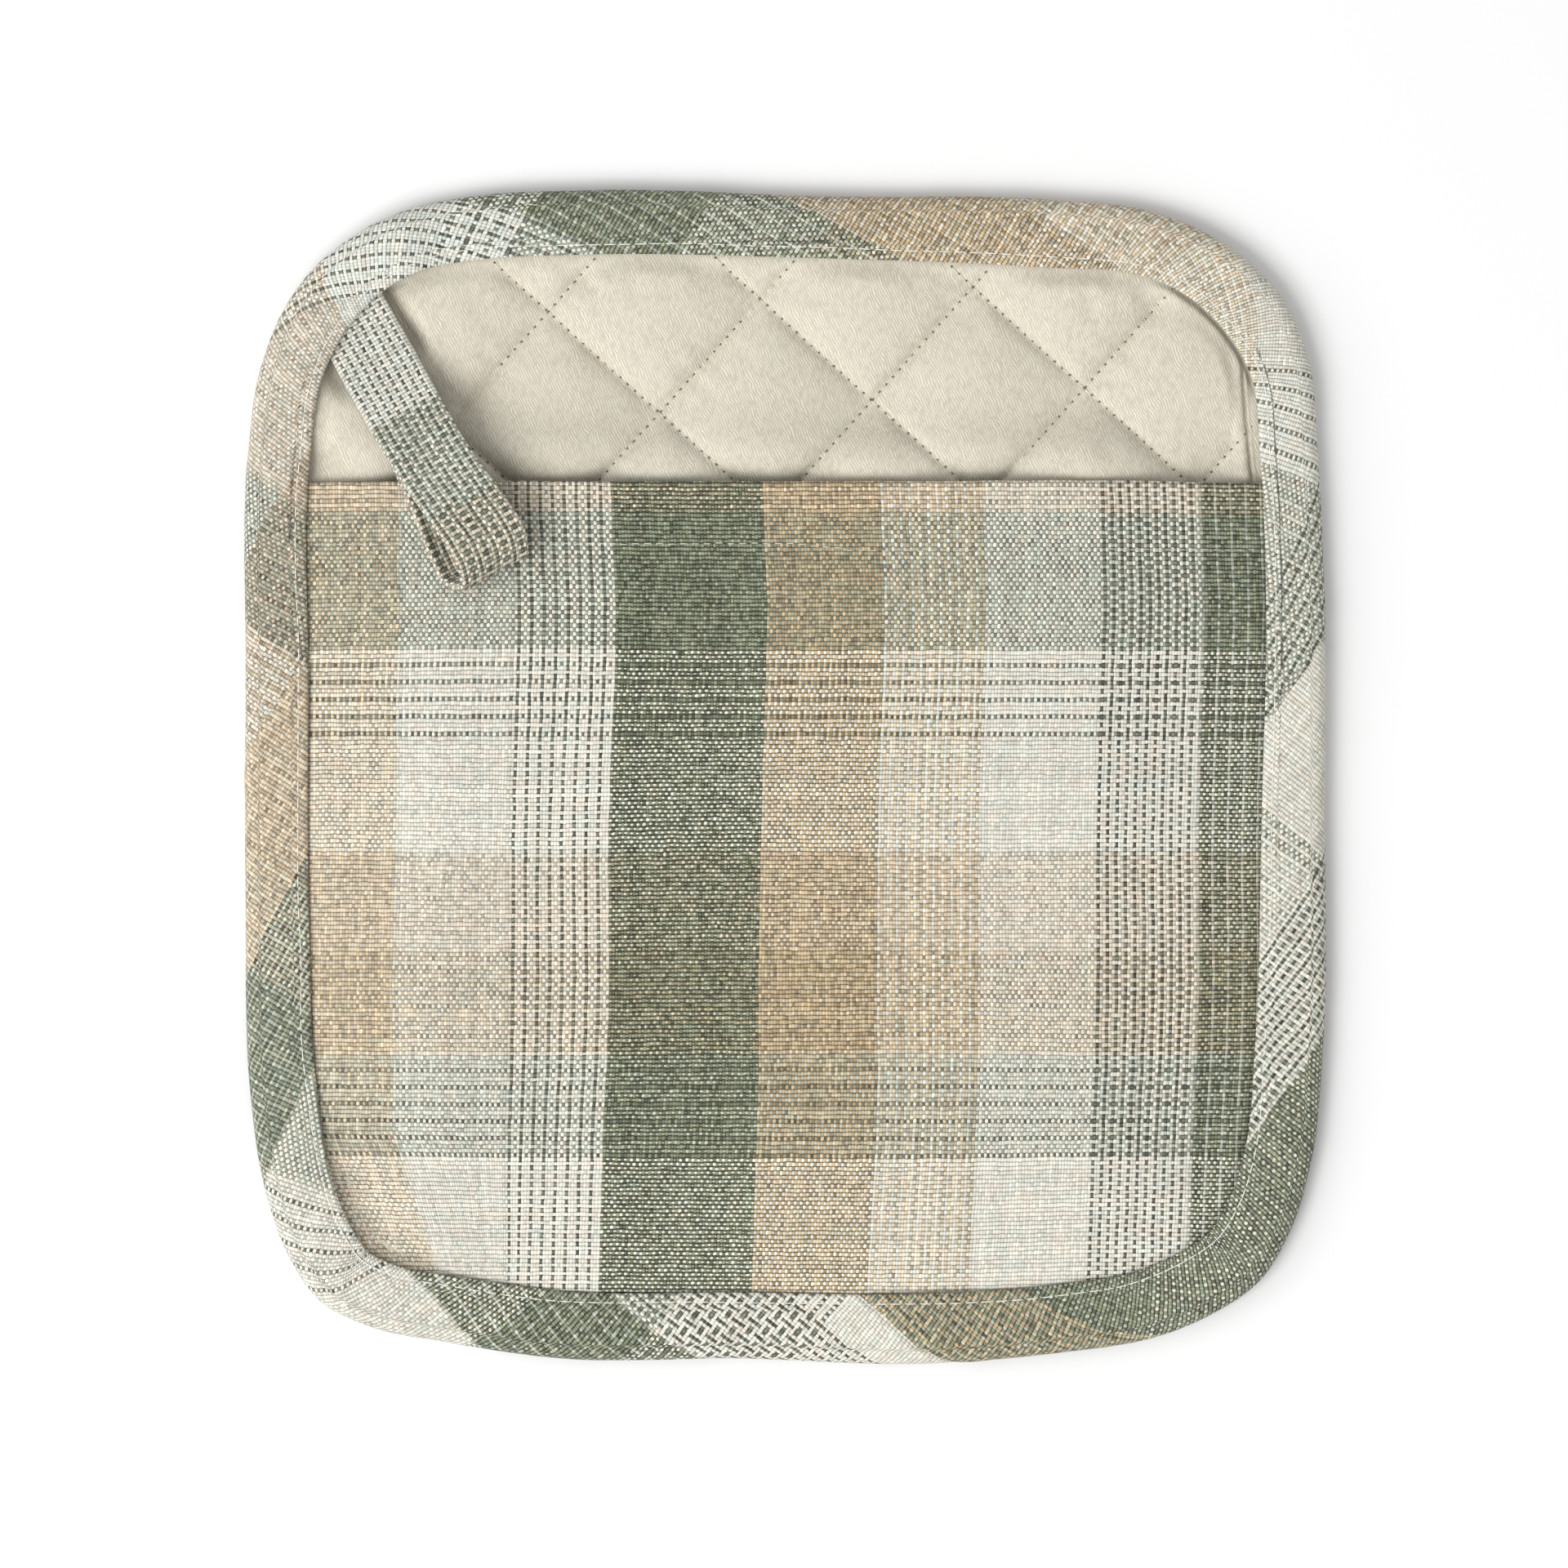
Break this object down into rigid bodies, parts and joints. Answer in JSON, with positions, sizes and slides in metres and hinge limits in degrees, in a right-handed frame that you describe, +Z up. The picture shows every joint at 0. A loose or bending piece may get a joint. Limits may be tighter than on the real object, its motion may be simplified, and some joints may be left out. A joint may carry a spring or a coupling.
{
  "type": "pot holder",
  "caption": "Square quilted pot holder with rounded corners, a plaid woven hand pocket open towards the top, a bias binding and a hanging loop at the top left corner.",
  "frame": {"origin": "on the surface it lies on, under the middle of the piece", "axes": "+Z up out of the pocket side, +Y towards the top edge and the pocket's mouth, +X to the right as seen from above"},
  "size_m": [0.2106, 0.2285, 0.0217],
  "materials": {
    "pad": "cream cotton satin, quilted",
    "pocket": "plaid linen and cotton plain weave, matt",
    "binding": "the same plaid cut on the bias, matt",
    "loop": "the same plaid folded to a tape, matt"
  },
  "bodies": {
    "root": {"pad": "pad", "pocket": "pocket", "binding": "binding", "loop": "loop"}
  },
  "joints": []
}
